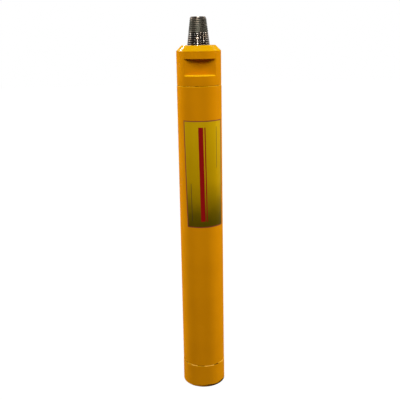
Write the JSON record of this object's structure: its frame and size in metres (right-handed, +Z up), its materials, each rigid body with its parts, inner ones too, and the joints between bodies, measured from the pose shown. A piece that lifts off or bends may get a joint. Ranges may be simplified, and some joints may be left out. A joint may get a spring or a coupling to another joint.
{
  "type": "down-the-hole hammer",
  "caption": "Yellow cylindrical down-the-hole rock drill hammer without its bit: threaded pin and wrench flats on top, sliding piston, check valve and splined chuck inside.",
  "frame": {"origin": "on the hammer's axis at the lower face of the drive chuck", "axes": "+Z up along the hammer's axis from the chuck to the threaded pin; the two wrench flats face -Y and +Y, and the picture shows the one that faces -Y"},
  "size_m": [0.126, 0.126, 1.0908],
  "materials": {
    "backhead_paint": "gloss yellow enamel",
    "case_paint": "gloss yellow enamel",
    "chuck_paint": "gloss yellow enamel",
    "inner_steel": "ground, hardened",
    "piston_steel": "ground, hardened",
    "ring_steel": "phosphated",
    "spring_steel": "oiled",
    "choke_brass": "turned",
    "seal_rubber": "matt",
    "buffer_elastomer": "matt",
    "valve_plastic": "turned acetal"
  },
  "bodies": {
    "hammer": {"backhead": "backhead_paint", "backhead_o_ring": "seal_rubber", "check_valve_spring": "spring_steel", "makeup_ring": "ring_steel", "buffer_ring": "buffer_elastomer", "air_distributor": "inner_steel", "distributor_o_rings": "seal_rubber", "choke_plug": "choke_brass", "choke_o_ring": "seal_rubber", "inner_cylinder": "inner_steel", "cylinder_stop_ring": "ring_steel", "piston_case": "case_paint", "piston_retainer": "ring_steel", "guide_bush": "inner_steel", "guide_bush_o_ring": "seal_rubber", "bit_retaining_half_left": "ring_steel", "bit_retaining_half_right": "ring_steel", "bit_retaining_o_ring": "seal_rubber", "drive_chuck": "chuck_paint"},
    "piston": {"piston": "piston_steel"},
    "check_valve": {"check_valve": "valve_plastic", "check_valve_seal": "seal_rubber"}
  },
  "joints": [
    {"name": "piston_slide", "type": "slide", "parent": "hammer", "child": "piston", "axis": [0, 0, 1], "range_m": [0, 0.14]},
    {"name": "check_valve_slide", "type": "slide", "parent": "hammer", "child": "check_valve", "axis": [0, 0, -1], "range_m": [0, 0.014], "stiffness_N_per_m": 1500, "springref_m": -0.012, "deforming": ["check_valve_spring"]}
  ]
}
